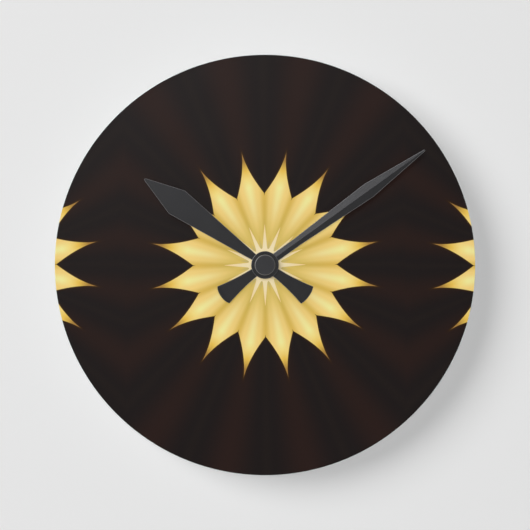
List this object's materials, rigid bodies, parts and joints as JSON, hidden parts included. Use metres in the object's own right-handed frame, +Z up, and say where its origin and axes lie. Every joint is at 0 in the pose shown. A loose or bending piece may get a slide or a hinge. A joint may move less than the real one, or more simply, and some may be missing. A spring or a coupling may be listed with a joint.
{
  "type": "wall clock",
  "caption": "Round frameless wall clock with a printed sunburst dial, dagger hands and a hanging battery quartz movement whose gear train turns with the hands.",
  "frame": {"origin": "on the hands' axis, at the flat rear face that rests on the wall", "axes": "+Y into the wall, so the dial faces -Y; +Z up towards twelve o'clock; +X right, towards three o'clock as seen from the front"},
  "size_m": [0.2032, 0.0291, 0.2032],
  "materials": {
    "clear_acrylic": "polished clear acrylic sheet, backed white by the print's base coat",
    "dial_print": "full-colour print under a smooth satin coat",
    "black_rubber": "moulded rubber",
    "brass": "turned and stamped brass",
    "hand_black": "black satin lacquer on stamped aluminium",
    "cap_black": "black satin lacquer",
    "spring_bronze": "rolled phosphor bronze",
    "white_nylon": "moulded acetal",
    "steel": "turned steel",
    "magnet": "sintered magnet",
    "lamination_steel": "annealed soft iron",
    "bobbin_plastic": "moulded nylon",
    "copper_wire": "enamelled copper wire",
    "case_black": "fine-grained black ABS",
    "plate_grey": "moulded acetal",
    "knob_plastic": "moulded acetal",
    "board_green": "solder-masked circuit board",
    "chip_epoxy": "cast epoxy",
    "contact_steel": "nickel-plated steel",
    "cell_sleeve": "shrunk plastic sleeve, plain bands, no lettering"
  },
  "bodies": {
    "movement": {"dial_panel": "clear_acrylic", "dial_print": "dial_print", "rubber_washer": "black_rubber", "front_washer": "brass", "dial_nut": "brass", "threaded_bush": "brass", "stator": "lamination_steel", "coil_core": "lamination_steel", "core_screws": "steel", "coil_bobbin": "bobbin_plastic", "coil_winding": "copper_wire", "front_case": "case_black", "rear_cover": "case_black", "centre_plate": "plate_grey", "plate_screws": "steel", "circuit_board": "board_green", "controller_chip": "chip_epoxy", "quartz_crystal": "steel", "positive_contact": "contact_steel", "negative_contact": "contact_steel"},
    "minute_arbor": {"minute_hand": "hand_black", "hub_cap": "cap_black", "minute_pipe": "brass", "centre_wheel": "brass", "clutch_spring": "spring_bronze"},
    "hour_pipe": {"hour_hand": "hand_black", "hour_hand_collet": "brass", "hour_wheel": "white_nylon"},
    "motion_work": {"motion_wheel": "white_nylon"},
    "third_arbor": {"third_wheel": "brass", "third_pinion": "steel"},
    "seconds_staff": {"seconds_wheel": "brass", "seconds_arbor": "steel"},
    "intermediate_arbor": {"intermediate_wheel": "white_nylon", "intermediate_pinion": "steel"},
    "rotor": {"rotor_magnet": "magnet", "rotor_pinion": "steel"},
    "setting_stem": {"setting_arbor": "steel", "setting_knob": "knob_plastic"},
    "battery": {"battery_cell": "contact_steel", "battery_sleeve": "cell_sleeve"}
  },
  "joints": [
    {"name": "minute_hand_turn", "type": "hinge", "parent": "movement", "child": "minute_arbor", "pos_m": [0, 0, 0], "axis": [0, 1, 0], "continuous": true},
    {"name": "hour_hand_turn", "type": "hinge", "parent": "movement", "child": "hour_pipe", "pos_m": [0, 0, 0], "axis": [0, 1, 0], "continuous": true},
    {"name": "motion_wheel_turn", "type": "hinge", "parent": "movement", "child": "motion_work", "pos_m": [0, 0, 0.0072], "axis": [0, 1, 0], "continuous": true},
    {"name": "setting_knob_turn", "type": "hinge", "parent": "movement", "child": "setting_stem", "pos_m": [0.00624, 0, 0.0108], "axis": [0, 1, 0], "continuous": true},
    {"name": "third_wheel_turn", "type": "hinge", "parent": "movement", "child": "third_arbor", "pos_m": [0.009, 0, 0], "axis": [0, 1, 0], "continuous": true},
    {"name": "seconds_wheel_turn", "type": "hinge", "parent": "movement", "child": "seconds_staff", "pos_m": [0, 0, 0], "axis": [0, 1, 0], "continuous": true},
    {"name": "intermediate_wheel_turn", "type": "hinge", "parent": "movement", "child": "intermediate_arbor", "pos_m": [-0.009, 0, 0], "axis": [0, 1, 0], "continuous": true},
    {"name": "rotor_turn", "type": "hinge", "parent": "movement", "child": "rotor", "pos_m": [-0.01274, 0, 0.00648], "axis": [0, 1, 0], "continuous": true},
    {"name": "battery_slide", "type": "slide", "parent": "movement", "child": "battery", "axis": [0, 1, 0], "range_m": [0, 0.02]}
  ],
  "couplings": [
    {"joint": "hour_hand_turn", "follows": "minute_hand_turn", "ratio": 0.083333},
    {"joint": "motion_wheel_turn", "follows": "minute_hand_turn", "ratio": -0.33333},
    {"joint": "setting_knob_turn", "follows": "minute_hand_turn", "ratio": 1},
    {"joint": "third_wheel_turn", "follows": "minute_hand_turn", "ratio": -8},
    {"joint": "seconds_wheel_turn", "follows": "minute_hand_turn", "ratio": 60},
    {"joint": "intermediate_wheel_turn", "follows": "minute_hand_turn", "ratio": -240},
    {"joint": "rotor_turn", "follows": "minute_hand_turn", "ratio": 1800}
  ]
}
